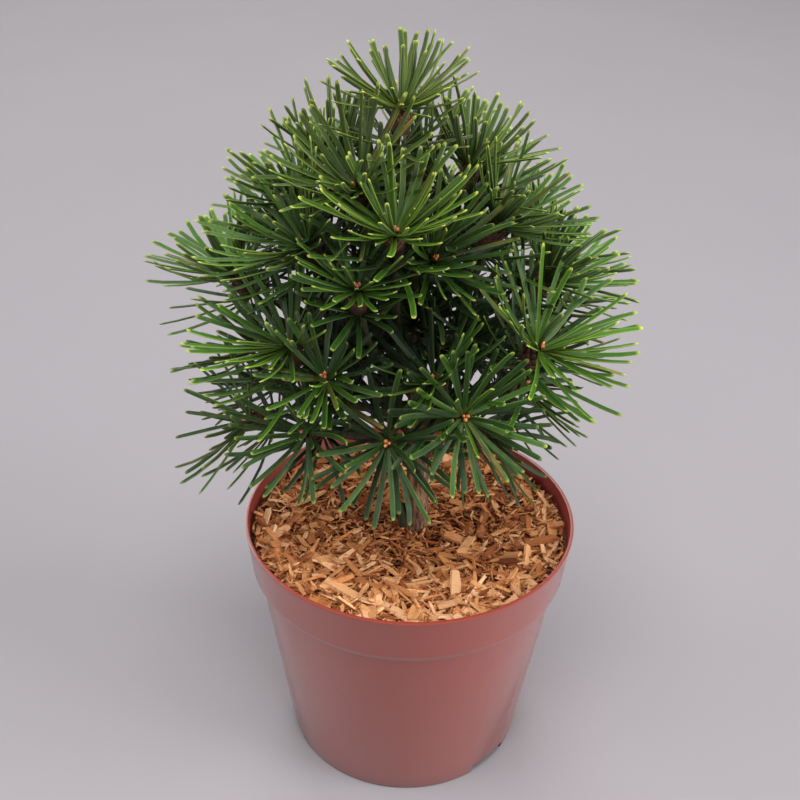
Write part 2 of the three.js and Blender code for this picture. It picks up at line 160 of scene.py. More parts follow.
class NeedleSettings(bpy.types.PropertyGroup):
    """Sizes, numbers and colours of the needles."""

    width: length("Width", "Width of a needle", 2.15 * MM)
    thickness: length("Thickness", "Thickness of a needle", 1.0 * MM)
    bow: length("Bow", "How far the middle of a long needle sags", 1.7 * MM)
    between: share("Between", "Share of the gaps that hold one more needle", 0.85)
    upright: amount("Upright", "Steeper needles inside each whorl", 8, 0)
    stubby: amount("Stubby", "Short needles round the buds of each whorl", 4, 0)
    older: amount("Older", "Needles of last year's whorl, behind each hub", 15, 0)
    deep: colour("Deep green", "the older needles", (0.009, 0.043, 0.004))
    bright: colour("Bright green", "the lit needles", (0.090, 0.240, 0.009))
    # the shaded green is painted shade, for needles deep in the crown and low down
    shaded: colour("Shaded green", "needles deep in the crown", (0.003, 0.012, 0.003))
    # the edge colour is the needles' own yellow-green, made brighter as a painted highlight
    edge: colour("Edge", "the thin bright edges", (0.38, 0.52, 0.070))
    olive: colour("Olive", "the topmost needles, in part", (0.045, 0.066, 0.006))
    groove: colour("Groove", "the pale band along the underside", (0.25, 0.35, 0.16))
    # the tip colour is the tips' own pale yellow-green, made brighter as a painted highlight
    tip: colour("Tip", "the blunt tips", (0.56, 0.64, 0.100))
    withered: colour("Withered", "the streaks on ageing needles", (0.42, 0.22, 0.035))


class StageSettings(bpy.types.PropertyGroup):
    """The floor, the lights and the camera."""

    camera_distance: length("Camera distance", "From the camera to its target", 510 * MM)
    camera_pitch: angle("Camera pitch", "How far the camera looks down", math.radians(31.5))
    camera_roll: angle("Camera roll", "Turn about the line of sight", math.radians(1.25))
    target_height: length("Target height", "Height that the camera looks at", 181 * MM)
    target_offset: length("Target offset", "How far right of the axis it looks", -5.4 * MM)
    lens: measure("Lens", "Focal length", 53.1, unit="CAMERA")
    floor: colour("Floor", "the floor", (0.255, 0.238, 0.252))
    sky: measure("Sky", "Strength of the even light", 0.30)
    key: power("Key light", "Power of the main light", 68)
    fill: power("Fill light", "Power that the other lights go by", 20)


# ---- Modelling helpers ----


def deselect_all():
    bpy.ops.object.select_all(action="DESELECT")


def activate(piece):
    deselect_all()
    piece.select_set(True)
    bpy.context.view_layer.objects.active = piece


def add_primitive(kind, name, **settings):
    """Adds one of Blender's mesh primitives and names it."""
    deselect_all()
    getattr(bpy.ops.mesh, f"primitive_{kind}_add")(**settings)
    piece = bpy.context.object
    piece.name = name
    piece.data.name = name
    return piece


def apply_modifier(piece, kind, **settings):
    activate(piece)
    modifier = piece.modifiers.new(kind.title(), kind)
    for setting, value in settings.items():
        setattr(modifier, setting, value)
    bpy.ops.object.modifier_apply(modifier=modifier.name)


def settle(piece):
    """Moves the piece's place, turn and size into its mesh."""
    activate(piece)
    bpy.ops.object.transform_apply(location=True, rotation=True, scale=True)


def link(name, mesh):
    """A new piece in the scene with a ready mesh."""
    piece = bpy.data.objects.new(name, mesh)
    bpy.context.scene.collection.objects.link(piece)
    return piece


def remove(piece):
    bpy.data.objects.remove(piece, do_unlink=True)


class EditMode:
    """Edit mode on one piece. Elements are picked by a test on them."""

    def __init__(self, piece, select="VERT"):
        self.piece = piece
        self.select = select

    def __enter__(self):
        activate(self.piece)
        bpy.ops.object.mode_set(mode="EDIT")
        bpy.ops.mesh.select_mode(type=self.select)
        return self

    def __exit__(self, *problem):
        bpy.ops.object.mode_set(mode="OBJECT")

    def pick_all(self):
        bpy.ops.mesh.select_all(action="SELECT")

    def pick(self, test):
        bpy.ops.mesh.select_all(action="DESELECT")
        mesh = bmesh.from_edit_mesh(self.piece.data)
        elements = {"VERT": mesh.verts, "EDGE": mesh.edges, "FACE": mesh.faces}[self.select]
        for element in elements:
            if test(element):
                element.select_set(True)
        bmesh.update_edit_mesh(self.piece.data)

    def extrude(self, way, factor=1.0):
        """Extrudes what is selected, moves it and scales it level about the Z axis."""
        bpy.ops.mesh.extrude_region_move(TRANSFORM_OT_translate={"value": way})
        if factor != 1.0:
            self.resize((factor, factor, 1))

    def resize(self, factors, centre=(0, 0, 0)):
        bpy.ops.transform.resize(value=factors, center_override=centre)

    def move(self, way):
        bpy.ops.transform.translate(value=way)


def finish_piece(piece, replaced, material, angle=35):
    """Gives a finished piece its material and its body, and hides the nodes that it stands for."""
    settle(piece)
    bpy.ops.object.shade_smooth_by_angle(angle=math.radians(angle))
    piece.data.materials.clear()
    piece.data.materials.append(material)
    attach(piece, BODY)
    if replaced:
        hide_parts(*replaced)


def read(items, key, kind=int, width=1):
    """One property of every item as an array."""
    values = np.empty(len(items) * width, kind)
    items.foreach_get(key, values)
    return values


def read_points(mesh):
    return read(mesh.vertices, "co", float, 3).reshape(-1, 3)


class Master:
    """The points and faces of a modelled shape that is copied many times."""

    def __init__(self, piece):
        self.points = read_points(piece.data)
        self.corners = read(piece.data.loops, "vertex_index")
        self.sizes = read(piece.data.polygons, "loop_total")
        remove(piece)


def gather(name, copies):
    """One mesh out of many copies, each a master, its moved points and its values by name."""
    points = np.concatenate([moved for _, moved, _ in copies])
    starts = np.cumsum([0] + [len(moved) for _, moved, _ in copies[:-1]])
    corners = np.concatenate([copy[0].corners + start for copy, start in zip(copies, starts)])
    sizes = np.concatenate([master.sizes for master, _, _ in copies])
    mesh = bpy.data.meshes.new(name)
    mesh.vertices.add(len(points))
    mesh.vertices.foreach_set("co", points.ravel())
    mesh.loops.add(len(corners))
    mesh.loops.foreach_set("vertex_index", corners)
    mesh.polygons.add(len(sizes))
    mesh.polygons.foreach_set("loop_start", np.concatenate([[0], np.cumsum(sizes)[:-1]]))
    for key in copies[0][2]:
        layer = mesh.attributes.new(key, "FLOAT", "POINT")
        spread = [np.broadcast_to(values[key], len(moved)) for _, moved, values in copies]
        layer.data.foreach_set("value", np.concatenate(spread).astype(np.float32))
    mesh.update(calc_edges=True)
    mesh.validate()
    return link(name, mesh)


def unit(vector):
    return vector / np.linalg.norm(vector)


def clamp(value, low=0.0, high=1.0):
    return max(low, min(high, value))


# ---- Shader helpers ----


def two_sided(operation):
    """A method that adds a Math node on the value itself and another one."""
    return lambda self, other: self.maths(operation, self, other)


class Value:
    """A number or colour that varies over a surface. Arithmetic on it adds Math nodes."""

    __add__ = two_sided("ADD")
    __mul__ = two_sided("MULTIPLY")
    __sub__ = two_sided("SUBTRACT")
    __pow__ = two_sided("POWER")
    larger = two_sided("MAXIMUM")

    def __init__(self, recipe, socket):
        self.recipe = recipe
        self.socket = socket

    def maths(self, operation, *values):
        return self.recipe.node("ShaderNodeMath", dict(enumerate(values)), operation=operation)

    def __rsub__(self, other):
        return self.maths("SUBTRACT", other, self)

    def __abs__(self):
        return self.maths("ABSOLUTE", self)

    def between(self, low, high):
        """0 at low and 1 at high, with a smooth rise between them. Low may be the larger one."""
        inputs = {"Value": self, "From Min": low, "From Max": high}
        return self.recipe.node("ShaderNodeMapRange", inputs, interpolation_type="SMOOTHSTEP")


class Recipe:
    """A material that is put together node by node."""

    def __init__(self, name):
        self.material = bpy.data.materials.new(name)
        self.material.use_nodes = True
        self.tree = self.material.node_tree
        self.tree.nodes.clear()

    def node(self, kind, inputs, output=0, **settings):
        """Adds a node with its settings and socket values, and gives one of its outputs."""
        made = self.tree.nodes.new(kind)
        for setting, value in settings.items():
            setattr(made, setting, value)
        for socket, value in inputs.items():
            self.feed(made.inputs[socket], value)
        return Value(self, made.outputs[output])

    def feed(self, socket, value):
        if isinstance(value, Value):
            self.tree.links.new(value.socket, socket)
        elif socket.type == "RGBA" and len(value) == 3:
            socket.default_value = (*value, 1)
        else:
            socket.default_value = value

    def place(self):
        """The surface's own place, in metres."""
        return self.node("ShaderNodeTexCoord", {}, "Object")

    def coordinate(self, axis):
        """The surface's own X, Y or Z, in metres."""
        return self.node("ShaderNodeSeparateXYZ", {0: self.place()}, axis)

    def attribute(self, name):
        return self.node(
            "ShaderNodeAttribute", {}, "Fac", attribute_name=name, attribute_type="GEOMETRY"
        )

    def vector(self, x, y, z):
        return self.node("ShaderNodeCombineXYZ", {0: x, 1: y, 2: z})

    def stretched(self, factors):
        """The surface's place, scaled by three factors, for a grain that runs one way."""
        return self.node("ShaderNodeMapping", {"Vector": self.place(), "Scale": factors})

    def noise(self, scale, detail, roughness, vector=None):
        inputs = {"Scale": scale, "Detail": detail, "Roughness": roughness}
        return self.node("ShaderNodeTexNoise", {"Vector": vector or self.place(), **inputs}, "Fac")

    def ramp(self, factor, stops):
        """A colour from a ramp through stops, each a position and a colour."""
        tinted = self.node("ShaderNodeValToRGB", {"Fac": factor}, "Color")
        elements = tinted.socket.node.color_ramp.elements
        while len(elements) < len(stops):
            elements.new(1)
        for element, (position, tint) in zip(elements, stops):
            element.position = position
            element.color = (*tint, 1)
        return tinted

    def mix(self, factor, first, second):
        """Mixes two colours."""
        return self.node("ShaderNodeMix", {0: factor, 6: first, 7: second}, 2, data_type="RGBA")

    def layers(self, base, *layers):
        """Lays colours over a base one after another, each with the factor before it."""
        for factor, tint in layers:
            base = self.mix(factor, base, tint)
        return base

    def bump(self, height, distance, strength, **under):
        inputs = {"Height": height, "Distance": distance, "Strength": strength, **under}
        return self.node("ShaderNodeBump", inputs)

    def surface(self, base, roughness, normal, **constants):
        """Ends the material in one Principled shader and gives the material back."""
        inputs = {"Base Color": base, "Roughness": roughness, "Normal": normal}
        inputs.update({name.replace("_", " "): value for name, value in constants.items()})
        shader = self.node("ShaderNodeBsdfPrincipled", inputs)
        self.feed(self.tree.nodes.new("ShaderNodeOutputMaterial").inputs["Surface"], shader)
        return self.material


# ---- Materials ----

# Colours of small marks and shadows, which go with the settings' colours
WORN_PLASTIC = (0.30, 0.088, 0.072)
POT_GRIME = (0.13, 0.045, 0.035)
PEAT_FIBRE = (0.085, 0.048, 0.028)
PEAT_SHADOW = (0.015, 0.009, 0.006)
DARK_WOOD = (0.070, 0.016, 0.004)
STRAW_WOOD = (0.84, 0.42, 0.17)
GRAIN_SHADOW = (0.095, 0.026, 0.008)
LITTER_SHADOW = (0.040, 0.010, 0.003)
LITTER_HOLLOW_SHADE = (0.028, 0.008, 0.003)
BARK_FURROW = (0.045, 0.022, 0.012)
BARK_PLATE = (0.50, 0.31, 0.17)
GREEN_BARK_FIBRE = (0.075, 0.062, 0.025)
SCALE_FOOT = (0.105, 0.034, 0.019)
SCALE_EDGE = (0.40, 0.19, 0.11)
SCALE_VEIN = (0.055, 0.020, 0.012)
SCALE_SHADED = (0.020, 0.009, 0.005)
RED_BUD = (0.38, 0.085, 0.035)
BUD_POINT = (0.80, 0.45, 0.20)
BUD_SPECKLE = (0.25, 0.060, 0.025)
NEEDLE_FOOT = (0.20, 0.24, 0.055)
GREY = (0.5, 0.5, 0.5)

# Middle and radii of the ellipsoid over which the crown's painted shade is laid
CROWN_MIDDLE = (-0.008, 0.0, 0.215)
CROWN_RADII = (0.112, 0.105, 0.125)


def painted_crown_shade(recipe):
    """Painted shade: 1 deep inside the crown, where the outer needles shade it, and 0 at its
    surface.
    """
    scaled = recipe.stretched([1 / radius for radius in CROWN_RADII])
    middle = [centre / radius for centre, radius in zip(CROWN_MIDDLE, CROWN_RADII)]
    apart = recipe.node(
        "ShaderNodeVectorMath", {0: scaled, 1: middle}, "Value", operation="DISTANCE"
    )
    return 1 - apart.between(0.38, 0.86)


def pot_plastic(settings):
    """Satin moulded plastic with a faint flow pattern, redder along the rim, darker on the inner
    wall as painted shade.
    """
    recipe = Recipe("terracotta_plastic")
    height = recipe.coordinate("Z")
    flow = recipe.noise(1.0, 4, 0.5, recipe.stretched((55, 55, 9)))
    mottle = recipe.noise(38, 5, 0.6)
    grime = recipe.noise(210, 3, 0.7).between(0.62, 0.8)
    rim = height.between(POT_HEIGHT - settings.lip * 1.3, POT_HEIGHT - settings.lip * 0.7)
    foot = height.between(12 * MM, 1 * MM)
    inside = recipe.attribute("inside")
    base = recipe.layers(
        settings.plastic,
        (flow.between(0.35, 0.7) * 0.3, settings.bright),
        (mottle.between(0.45, 0.75) * 0.16, WORN_PLASTIC),
        (rim, settings.bright),
        # painted shade: the inner wall is darker, as the inside of the pot lies in shade; it is
        # also rougher and has no coat
        (inside, settings.inner),
        (foot * 0.35 + grime * 0.12, POT_GRIME),
    )
    waves = recipe.noise(1.0, 2, 0.5, recipe.stretched((30, 30, 14)))
    grain = recipe.noise(1500, 2, 0.5)
    normal = recipe.bump(grain, 0.00008, 0.5, Normal=recipe.bump(waves, 0.0011, 0.35))
    roughness = mottle * 0.12 + 0.33 + grime * 0.2 + inside * 0.2
    return recipe.surface(
        base, roughness, normal, Specular_IOR_Level=0.5, Coat_Roughness=0.18,
        Coat_Weight=1 - inside,
    )


def potting_soil(settings):
    """Dark crumbs of peat with paler fibres in it."""
    recipe = Recipe("peat_soil")
    crumbs = recipe.noise(420, 6, 0.7)
    lumps = recipe.noise(90, 3, 0.6)
    base = recipe.layers(
        settings.soil,
        (crumbs.between(0.4, 0.7), PEAT_FIBRE),
        (lumps.between(0.5, 0.75) * 0.5, PEAT_SHADOW),
    )
    return recipe.surface(base, crumbs * 0.2 + 0.8, recipe.bump(crumbs + lumps, 0.0015, 0.9))


def wood_grain(settings, name, straw_stop):
    """Split wood: every chip has its own tone, and its grain runs along it."""
    recipe = Recipe(name)
    along, across, tone = map(recipe.attribute, ("along", "across", "tone"))
    grain = recipe.noise(2.2, 4, 0.65, recipe.vector(along * 1.6, across * 9, tone * 60))
    stain = recipe.noise(130, 4, 0.6)
    stops = [
        (0.0, DARK_WOOD),
        (0.22, settings.russet),
        (0.48, settings.ochre),
        (straw_stop, STRAW_WOOD),
        (1.0, settings.pale),
    ]
    base = recipe.layers(
        recipe.ramp(tone * 0.82 + grain * 0.3 - 0.06, stops),
        (grain.between(0.5, 0.32) * 0.5, GRAIN_SHADOW),
        (stain.between(0.55, 0.75) * 0.35, settings.russet),
    )
    normal = recipe.bump(grain, 0.0006, 0.8)
    return recipe.surface(base, grain * 0.2 + 0.72, normal, Specular_IOR_Level=0.3)


def mulch_dust(settings):
    """The fine russet and ochre litter between the chips, on a dark base that is painted shade in
    the gaps between them.
    """
    recipe = Recipe("bark_litter")
    litter = recipe.noise(700, 6, 0.75)
    lumps = recipe.noise(160, 3, 0.6)
    base = recipe.layers(
        # painted shade: the darkest colour stands for the shadow between the chips
        LITTER_SHADOW,
        (litter.between(0.38, 0.66), settings.russet),
        (litter.between(0.62, 0.76) * 0.7, settings.ochre),
        # painted shade in the hollows of the litter
        (lumps.between(0.55, 0.75) * 0.5, LITTER_HOLLOW_SHADE),
    )
    return recipe.surface(base, litter * 0.1 + 0.9, recipe.bump(litter + lumps, 0.002, 1.0))


def bark(settings):
    """Fibrous brown bark on the stem, going over to dark green on the thin branches and the low
    branch; the stem's left side gets the same dark green as painted shade.
    """
    recipe = Recipe("fibrous_bark")
    across = recipe.coordinate("X")
    sideways = across - STEM_X * 0.4
    depth = recipe.coordinate("Y")
    away = (sideways * sideways + depth * depth) ** 0.5
    # the low branch's own dark green, spread over the stem's left side as painted shade
    low_branch_and_stem_shade = 1 - across.between(STEM_X - 5.0 * MM, STEM_X - 3.6 * MM)
    young_and_shaded = away.between(8.5 * MM, 17 * MM).larger(low_branch_and_stem_shade)
    fibres = recipe.noise(1.0, 5, 0.7, recipe.stretched((900, 900, 120)))
    plates = recipe.noise(1.0, 3, 0.6, recipe.stretched((330, 330, 90)))
    old = recipe.layers(
        BARK_FURROW,
        (fibres.between(0.38, 0.6), settings.bark),
        (plates.between(0.5, 0.66) * 0.75, BARK_PLATE),
    )
    fresh = recipe.mix(fibres.between(0.4, 0.7), settings.young_bark, GREEN_BARK_FIBRE)
    normal = recipe.bump(fibres + plates, 0.0011, 0.9)
    return recipe.surface(
        recipe.mix(young_and_shaded, old, fresh), fibres * 0.25 + 0.62, normal, Specular_IOR_Level=0.35
    )


def papery_scales(settings):
    """Thin reddish-brown scales with paler, torn edges, darkened deep in the crown as painted
    shade.
    """
    recipe = Recipe("papery_scales")
    along, tone = map(recipe.attribute, ("along", "tone"))
    veins = recipe.noise(1.0, 4, 0.7, recipe.stretched((900, 900, 300)))
    base = recipe.layers(
        SCALE_FOOT,
        (tone, settings.scale),
        (along.between(0.55, 1.0) * 0.75, SCALE_EDGE),
        (veins.between(0.55, 0.4) * 0.45, SCALE_VEIN),
        # painted shade: scales deep in the crown are darkened as if shaded by the needles
        (painted_crown_shade(recipe) * 0.8, SCALE_SHADED),
    )
    return recipe.surface(base, veins * 0.25 + 0.55, recipe.bump(veins, 0.0005, 0.7))


def bud_skin(settings):
    """Orange-brown buds with a pale point."""
    recipe = Recipe("bud_skin")
    along, tone = map(recipe.attribute, ("along", "tone"))
    speckle = recipe.noise(1800, 3, 0.6)
    base = recipe.layers(
        settings.bud,
        (tone, RED_BUD),
        (along.between(0.7, 1.0) * 0.7, BUD_POINT),
        (speckle.between(0.55, 0.75) * 0.4, BUD_SPECKLE),
    )
    return recipe.surface(base, speckle * 0.2 + 0.38, recipe.bump(speckle, 0.0002, 0.6))


def needle_leather(settings):
    """Leathery needles: deep green, with a grooved middle, pale yellow-green edges and a blunt
    yellow tip. Edges and tips are made brighter as a painted highlight, and needles deep in the
    crown and low down are darkened as painted shade.
    """
    recipe = Recipe("needle_leather")
    along, under, tone, age = map(recipe.attribute, ("along", "under", "tone", "age"))
    across = abs(recipe.attribute("across"))
    height = recipe.coordinate("Z")
    mottle = recipe.noise(240, 4, 0.6)
    streaks = recipe.noise(1.0, 3, 0.6, recipe.vector(along * 3.5, across * 3, age * 90))
    band = across.between(0.08, 0.3) * (1 - across.between(0.6, 0.85)) * under
    streaked = age.between(0.94, 0.99) * streaks.between(0.4, 0.6) * (1 - across.between(0.35, 0.8))
    base = recipe.layers(
        settings.deep,
        (tone * 0.85 + mottle * 0.5 - 0.2, settings.bright),
        (height.between(260 * MM, 310 * MM) * 0.8, settings.olive),
        # painted highlight, in part: the edges' own yellow-green, made brighter for the glint along
        # them
        (across.between(0.72, 1.0) * (tone * 0.6 + 0.25), settings.edge),
        ((1 - across.between(0.05, 0.35)) * 0.45, settings.deep),
        (band * 0.75, settings.groove),
        ((1 - along.between(0.0, 0.14)) * 0.45, NEEDLE_FOOT),
        (streaked * 0.85, settings.withered),
        # painted highlight, in part: the tips' own pale yellow-green, made brighter for their glint
        (along.between(0.945, 0.992) * (tone * 0.65 + 0.3), settings.tip),
        # painted shade deep inside the crown
        (painted_crown_shade(recipe) * 0.85, settings.shaded),
        # painted shade on the low needles, under the upper crown
        ((1 - height.between(150 * MM, 245 * MM)) * 0.45, settings.shaded),
    )
    ridges = recipe.noise(1.0, 2, 0.5, recipe.vector(along * 2, across * 14, age * 40))
    normal = recipe.bump(ridges, 0.00022, 0.6)
    return recipe.surface(base, mottle * 0.16 + 0.33, normal, Specular_IOR_Level=0.32)


def floor_paint(settings):
    """An even matt paint with a barely visible mottle."""
    recipe = Recipe("floor_paint")
    mottle = recipe.noise(6, 2, 0.5)
    base = recipe.mix(mottle * 0.06, settings.floor, GREY)
    return recipe.surface(base, 0.85, recipe.bump(mottle, 0.0001, 0.1))


# ---- Pot ----

POT_SIDES = 144
NEAR = 0.05 * MM
FOLD_ROUNDING = 1.6 * MM  # of the two corners of the shoulder
FOOT_ROUNDING = 1.2 * MM
SLOT_SIZE = Vector((13, 22, 6)) * MM  # depth, width and height of the cutter
SLOT_RISE = 5 * MM
SLOT_BEARINGS = (-43, 77, 197)
SHARP_EDGE = 28  # degrees between the faces of an edge that gets rounded


def pot_wall(settings):
    """The outside of the pot as radius and height, from its foot to its rim."""
    collar_foot = POT_HEIGHT - settings.collar_height
    collar_radius = RIM_RADIUS - settings.collar_draft
    neck = collar_radius - settings.collar_step
    under_lip = RIM_RADIUS - settings.lip_step
    return [
        (settings.base_radius, 0.0),
        (neck, collar_foot - settings.shoulder),
        (collar_radius, collar_foot),
        (under_lip, POT_HEIGHT - settings.lip - settings.lip_step),
        (RIM_RADIUS, POT_HEIGHT - settings.lip),
        (RIM_RADIUS, POT_HEIGHT),
    ]


def pot_bore(settings):
    """The inside of the pot as radius and height, from its rim down to its floor."""
    (base, _), (neck, low), (collar, high) = pot_wall(settings)[:3]
    slope = (neck - base) / low
    floor_radius = base + slope * settings.wall - settings.wall
    return [
        (collar - settings.wall, high),
        (neck - settings.wall, low),
        (floor_radius, settings.wall),
    ]


def shape_pot(settings):
    wall = pot_wall(settings)
    pot = add_primitive(
        "circle", "moulded_pot", vertices=POT_SIDES, radius=settings.base_radius, fill_type="NGON"
    )
    with EditMode(pot, "FACE") as edit:
        for (radius, height), (wider, higher) in zip(wall, wall[1:]):
            edit.extrude((0, 0, higher - height), wider / radius)
        bpy.ops.mesh.inset(thickness=settings.wall)
        radius, height = RIM_RADIUS - settings.wall, POT_HEIGHT
        for narrower, lower in pot_bore(settings):
            edit.extrude((0, 0, lower - height), narrower / radius)
            radius, height = narrower, lower
    with EditMode(pot, "EDGE") as edit:
        edit.pick(lambda edge: is_ring(edge, wall[1:3]))
        bpy.ops.mesh.bevel(offset=FOLD_ROUNDING, segments=4)
        edit.pick(lambda edge: is_ring(edge, wall[:1]))
        bpy.ops.mesh.bevel(offset=FOOT_ROUNDING, segments=3)
    return pot


def is_ring(edge, corners):
    """True for an edge that runs round the pot at one of the given radii and heights."""
    ends = [(vertex.co.xy.length, vertex.co.z) for vertex in edge.verts]
    return any(all(math.dist(end, corner) < NEAR for end in ends) for corner in corners)


def cut_slots(pot, settings):
    outermost = Vector((settings.base_radius + 1 * MM, 0, SLOT_RISE))
    centre = outermost - Vector((SLOT_SIZE.x, 0, SLOT_SIZE.z)) / 2
    for bearing in map(math.radians, SLOT_BEARINGS):
        place = Matrix.Rotation(bearing, 4, "Z") @ centre
        cutter = add_primitive("cube", "slot_cutter", size=1, location=place)
        cutter.rotation_euler.z = bearing
        cutter.scale = SLOT_SIZE
        settle(cutter)
        with EditMode(cutter, "EDGE") as edit:
            edit.pick(lambda edge: all(v.co.z > SLOT_RISE - MM for v in edge.verts))
            bpy.ops.mesh.bevel(offset=1.0 * MM, segments=3)
        apply_modifier(pot, "BOOLEAN", operation="DIFFERENCE", object=cutter, solver="EXACT")
        remove(cutter)


def mark_inside(pot):
    """Marks the points whose surface faces the pot's axis."""
    layer = pot.data.attributes.new("inside", "FLOAT", "POINT")
    facing = [vertex.normal.xy.dot(vertex.co.xy) < 0 for vertex in pot.data.vertices]
    layer.data.foreach_set("value", np.array(facing, np.float32))


class PINE_OT_pot(bpy.types.Operator):
    """Model the moulded pot with its collar, rim lip and drain slots"""

    bl_idname = "pine.pot"
    bl_label = "Pot"

    def execute(self, context):
        settings = context.scene.pine_pot
        pot = shape_pot(settings)
        cut_slots(pot, settings)
        apply_modifier(
            pot, "BEVEL", width=settings.edge, segments=2, limit_method="ANGLE",
            angle_limit=math.radians(SHARP_EDGE), use_clamp_overlap=True,
        )
        mark_inside(pot)
        finish_piece(pot, ["nursery_pot"], pot_plastic(settings))
        return {"FINISHED"}


# ---- Soil and wood chips ----

BED_SIDES = 120
BED_RINGS = 34
BED_DRAFT = 3.2 * MM  # how much narrower the layer is at its foot
CHIP_COVER = 2 * MM  # how far the chips stand over the litter
HUMPS = ((22 * MM, 1.0), (5 * MM, 0.5))  # size and share of the settings' unevenness
SPOT_GAP = 0.5 * MM  # from the layer's edge to the middle of a chip
WALL_GAP = 0.6 * MM  # from the layer's edge to the end of a chip
STEM_GAP = 0.5 * MM
GRAIN_LENGTH, GRAIN_WIDTH = 5 * MM, 0.8 * MM
LONGEST_CHIP = 2.4  # times a middling chip
BROADEST_CHIP = 11 * MM  # length at which chips stop growing broader


def shape_bed(settings):
    """A round layer of litter with an uneven top."""
    bottom = MULCH_BOX[0].z
    thickness = MULCH_TOP - CHIP_COVER - bottom
    low_radius = MULCH_RADIUS - BED_DRAFT
    bed = add_primitive(
        "circle", "mulch_litter", vertices=BED_SIDES, radius=low_radius, fill_type="NGON",
        location=(0, 0, bottom),
    )
    settle(bed)
    with EditMode(bed, "FACE") as edit:
        edit.extrude((0, 0, thickness), MULCH_RADIUS / low_radius)
        for _ in range(BED_RINGS):
            bpy.ops.mesh.inset(thickness=MULCH_RADIUS / (BED_RINGS + 1.5))
    raised = bed.vertex_groups.new(name="top")
    high = [v.index for v in bed.data.vertices if v.co.z > bottom + thickness - MM]
    raised.add(high, 1, "REPLACE")
    for size, strength in HUMPS:
        humps = bpy.data.textures.new("humps", "CLOUDS")
        humps.noise_scale = size
        apply_modifier(
            bed, "DISPLACE", texture=humps, texture_coords="LOCAL", direction="Z",
            strength=settings.unevenness * strength, mid_level=0.5, vertex_group="top",
        )
    return bed


def chip_master(name, seed, width, thickness, taper, segments):
    """A split chip: a box, divided along its length, tapered to its ends and roughened."""
    chip = add_primitive("cube", name, size=1)

    def is_end(face, side):
        return face.normal.x * side > 0.6 and face.calc_center_median().x * side > 0.4

    with EditMode(chip, "FACE") as edit:
        for side in (-1, 1):
            for step in range(segments):
                edit.pick(lambda face: is_end(face, side))
                edit.extrude((side * 0.5, 0, 0))
                edit.resize((1, taper, (1 + taper) / 2), (side * (1 + step * 0.5), 0, 0))
    with EditMode(chip) as edit:
        edit.pick_all()
        bpy.ops.transform.vertex_random(offset=0.13, uniform=0.0, normal=0.0, seed=seed)
    chip.scale = (1 / (1 + segments), width, thickness)
    settle(chip)
    return Master(chip)


CHIP_SHAPES = (
    # name, seed, width and thickness for a length of one, taper of each step, steps at each end
    ("splinter", 3, 0.19, 0.08, 0.62, 1),
    ("long_splinter", 5, 0.12, 0.06, 0.72, 2),
    ("broad_chip", 8, 0.34, 0.10, 0.82, 1),
    ("flake", 12, 0.25, 0.06, 0.6, 1),
    ("sliver", 21, 0.10, 0.065, 0.7, 1),
)


def scatter(name, masters, number, size_of, tone_of, seed, lift):
    """Lays many small pieces on the bed, each with its own turn, tilt, size and tone."""
    draw = random.Random(seed)
    copies = []
    while len(copies) < number:
        radius = (MULCH_RADIUS - SPOT_GAP) * math.sqrt(draw.random())
        bearing = draw.uniform(0, math.tau)
        spot = Vector((radius * math.cos(bearing), radius * math.sin(bearing), 0))
        size = size_of(draw, spot)
        turn = draw.uniform(0, math.tau)
        tilt = draw.gauss(0, 0.3)
        roll = draw.gauss(0, 0.45)
        height = MULCH_TOP + draw.uniform(*lift)
        master = draw.choice(masters)
        tone = tone_of(draw, spot)
        half = Vector((math.cos(turn), math.sin(turn), 0)) * size.x * 0.5
        if max((spot + half).length, (spot - half).length) > MULCH_RADIUS - WALL_GAP:
            continue
        if (spot - STEM_FOOT).length < STEM_RADIUS + STEM_GAP:
            continue
        place = Matrix.Translation((spot.x, spot.y, height)) @ Matrix.Rotation(turn, 4, "Z")
        place = place @ Matrix.Rotation(tilt, 4, "Y") @ Matrix.Rotation(roll, 4, "X")
        matrix = np.array(place @ Matrix.Diagonal((*size, 1)))
        points = master.points @ matrix[:3, :3].T + matrix[:3, 3]
        values = {
            "along": master.points[:, 0] * size.x / GRAIN_LENGTH + draw.random() * 9,
            "across": master.points[:, 1] * size.y / GRAIN_WIDTH,
            "tone": tone,
        }
        copies.append((master, points, values))
    return gather(name, copies)


def frontness(spot):
    """0 at the stem and the back of the pot, 1 along the front edge."""
    away = min(1.0, (spot - STEM_FOOT).length / MULCH_RADIUS)
    return clamp(away * 1.25 - 0.25) * (0.72 - 0.28 * spot.y / MULCH_RADIUS)


